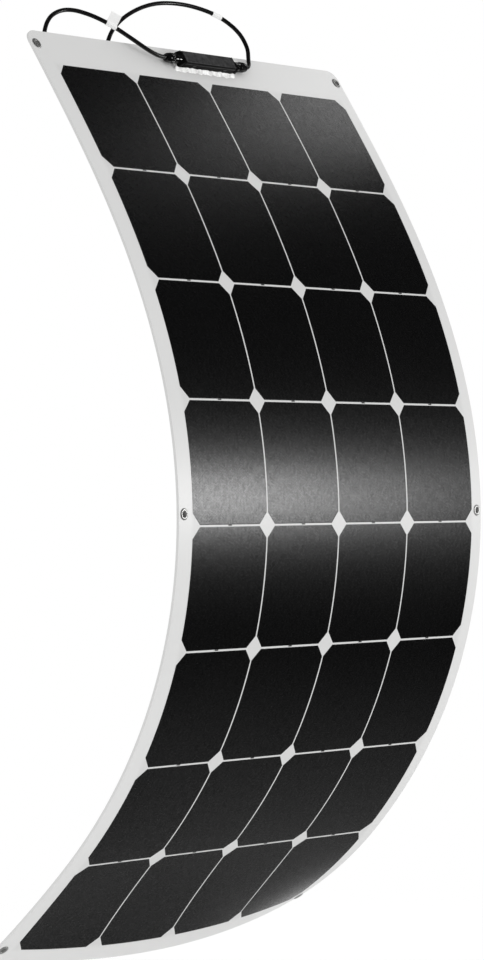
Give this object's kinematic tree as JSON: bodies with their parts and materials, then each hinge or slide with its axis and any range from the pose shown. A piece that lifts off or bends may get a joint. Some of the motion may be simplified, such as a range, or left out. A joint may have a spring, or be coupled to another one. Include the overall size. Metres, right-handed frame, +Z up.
{
  "type": "flexible solar sheet",
  "caption": "Thin white flexible laminate held in a forward bow, with a grid of black cut-corner cells, metal eyelets, a junction box with nuts on its glands and two leads with connectors.",
  "frame": {"origin": "half way between the two side eyelets, on the back face of the sheet", "axes": "+X across the sheet to the right seen from the front, the cells face -Y at the origin, +Z up towards the junction box"},
  "size_m": [0.547, 0.262, 1.023],
  "materials": {
    "white_sheet": "satin off-white",
    "encapsulant": "satin off-white",
    "cell": "near-black silicon under a clear film",
    "clear_film": "clear with a fine fibre texture",
    "tab_metal": "tinned",
    "eyelet_metal": "bright plated",
    "sealant": "white silicone",
    "box_plastic": "satin black",
    "lid_plastic": "satin dark grey",
    "seal_rubber": "matt",
    "lead_jacket": "satin black",
    "label": "blank white",
    "brass": "bright"
  },
  "bodies": {
    "middle_band": {"back_sheet_middle": "white_sheet", "encapsulant_middle": "encapsulant", "cells_middle": "cell", "front_film_middle": "clear_film", "cell_tabs_4": "tab_metal", "eyelets_middle": "eyelet_metal", "flex_strip_3": "white_sheet", "cell_tabs_3": "tab_metal", "flex_strip_5": "white_sheet", "cell_tabs_5": "tab_metal"},
    "upper_band": {"back_sheet_upper": "white_sheet", "encapsulant_upper": "encapsulant", "cells_upper": "cell", "front_film_upper": "clear_film", "cell_tabs_2": "tab_metal", "flex_strip_1": "white_sheet", "cell_tabs_1": "tab_metal"},
    "top_band": {"back_sheet_top": "white_sheet", "encapsulant_top": "encapsulant", "cells_top": "cell", "front_film_top": "clear_film", "bus_ribbons_top": "tab_metal", "eyelets_top": "eyelet_metal", "box_sealant": "sealant", "box_base": "box_plastic", "box_gasket": "seal_rubber", "bypass_diodes": "box_plastic", "box_terminals": "brass", "gland_seals": "seal_rubber", "lead_left": "lead_jacket", "lead_right": "lead_jacket", "coil_left": "lead_jacket", "coil_right": "lead_jacket", "coil_ties": "box_plastic", "flag_label": "label", "sleeve_label": "label", "plug_body": "box_plastic", "socket_body": "box_plastic", "connector_contacts": "brass"},
    "lower_band": {"back_sheet_lower": "white_sheet", "encapsulant_lower": "encapsulant", "cells_lower": "cell", "front_film_lower": "clear_film", "cell_tabs_6": "tab_metal", "flex_strip_7": "white_sheet", "cell_tabs_7": "tab_metal"},
    "bottom_band": {"back_sheet_bottom": "white_sheet", "encapsulant_bottom": "encapsulant", "cells_bottom": "cell", "front_film_bottom": "clear_film", "bus_ribbons_bottom": "tab_metal", "eyelets_bottom": "eyelet_metal"},
    "lid": {"box_lid": "lid_plastic"},
    "left_gland_nut": {"gland_nut_left": "box_plastic"},
    "right_gland_nut": {"gland_nut_right": "box_plastic"},
    "plug_cable_nut": {"plug_nut": "box_plastic"},
    "socket_cable_nut": {"socket_nut": "box_plastic"}
  },
  "joints": [
    {"name": "sheet_flex", "type": "hinge", "parent": "middle_band", "child": "upper_band", "pos_m": [0, 0.01044, 0.11447], "axis": [1, 0, 0], "range_deg": [-6, 23.4], "stiffness_Nm_per_rad": 17, "deforming": ["flex_strip_3", "cell_tabs_3"]},
    {"name": "top_flex", "type": "hinge", "parent": "upper_band", "child": "top_band", "pos_m": [0, 0.10338, 0.35027], "axis": [1, 0, 0], "range_deg": [-2.7, 10.2], "stiffness_Nm_per_rad": 17, "deforming": ["flex_strip_1", "cell_tabs_1"]},
    {"name": "lower_flex", "type": "hinge", "parent": "middle_band", "child": "lower_band", "pos_m": [0, 0.01724, -0.1377], "axis": [-1, 0, 0], "range_deg": [-7.5, 29.1], "stiffness_Nm_per_rad": 17, "deforming": ["flex_strip_5", "cell_tabs_5"]},
    {"name": "bottom_flex", "type": "hinge", "parent": "lower_band", "child": "bottom_band", "pos_m": [0, 0.14338, -0.35604], "axis": [-1, 0, 0], "range_deg": [-6.8, 26], "stiffness_Nm_per_rad": 17, "deforming": ["flex_strip_7", "cell_tabs_7"]},
    {"name": "lid_lift", "type": "slide", "parent": "top_band", "child": "lid", "axis": [0, -0.8469, 0.5317], "range_m": [0, 0.025]},
    {"name": "left_gland_turn", "type": "hinge", "parent": "top_band", "child": "left_gland_nut", "pos_m": [0.014, 0.17454, 0.48276], "axis": [1, 0, 0], "continuous": true},
    {"name": "right_gland_turn", "type": "hinge", "parent": "top_band", "child": "right_gland_nut", "pos_m": [0.014, 0.17454, 0.48276], "axis": [1, 0, 0], "continuous": true},
    {"name": "plug_nut_turn", "type": "hinge", "parent": "top_band", "child": "plug_cable_nut", "pos_m": [-0.0994, 0.20443, 0.38462], "axis": [0, 0, 1], "continuous": true},
    {"name": "socket_nut_turn", "type": "hinge", "parent": "top_band", "child": "socket_cable_nut", "pos_m": [-0.0175, 0.20443, 0.38772], "axis": [0, 0, 1], "continuous": true}
  ],
  "couplings": [
    {"joint": "top_flex", "follows": "sheet_flex", "ratio": 0.42877},
    {"joint": "lower_flex", "follows": "sheet_flex", "ratio": 1.2352},
    {"joint": "bottom_flex", "follows": "sheet_flex", "ratio": 1.1055}
  ]
}
